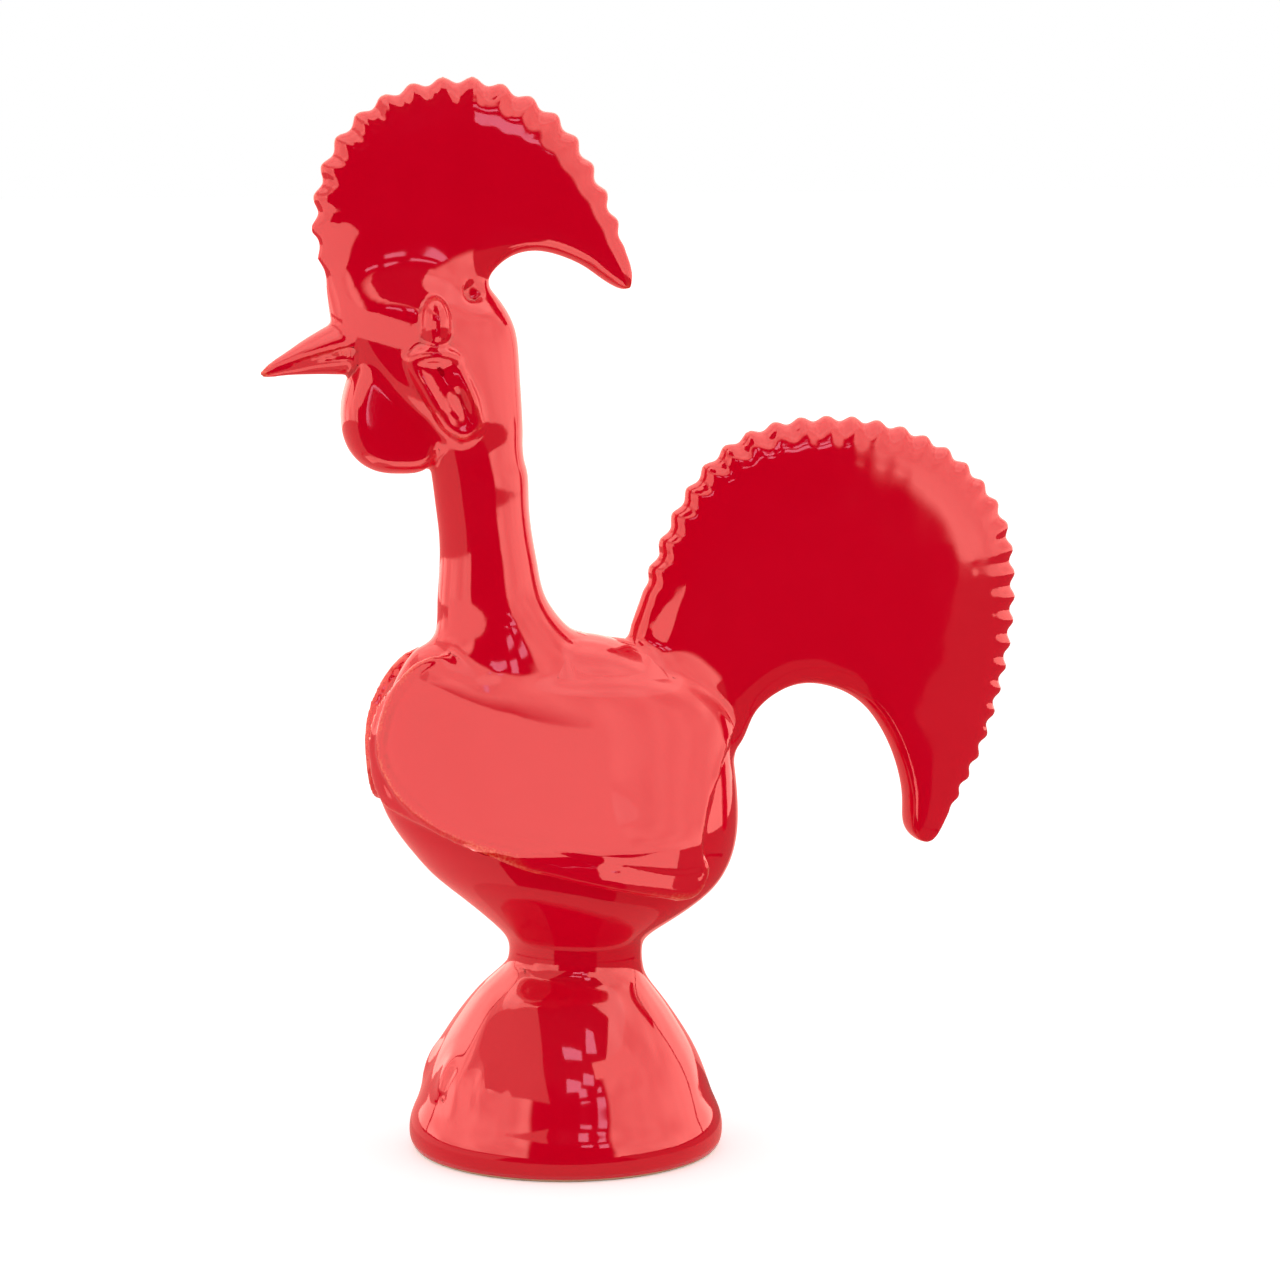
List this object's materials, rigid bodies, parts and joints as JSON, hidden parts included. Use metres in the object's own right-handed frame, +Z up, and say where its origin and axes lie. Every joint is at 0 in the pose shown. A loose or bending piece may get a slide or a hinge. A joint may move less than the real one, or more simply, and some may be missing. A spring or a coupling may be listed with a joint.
{
  "type": "ceramic rooster figurine",
  "caption": "Glossy red glazed ceramic rooster on a hollow flared foot, with scalloped comb and tail, wings, wattles and ear lobes in relief.",
  "frame": {"origin": "centre of the foot ring, on the surface that the figure stands on", "axes": "+Z up, -X the way the rooster faces, -Y its left side"},
  "size_m": [0.1807, 0.0738, 0.2498],
  "materials": {
    "red_glaze": "gloss"
  },
  "bodies": {
    "root": {"foot_bell": "red_glaze", "leg_left": "red_glaze", "leg_right": "red_glaze", "body": "red_glaze", "wing_left": "red_glaze", "wing_right": "red_glaze", "tail": "red_glaze", "neck": "red_glaze", "head": "red_glaze", "comb": "red_glaze", "upper_beak": "red_glaze", "lower_beak": "red_glaze", "eye_left": "red_glaze", "eye_right": "red_glaze", "ear_lobe_left": "red_glaze", "ear_lobe_right": "red_glaze", "wattle_left": "red_glaze", "wattle_right": "red_glaze"}
  },
  "joints": []
}
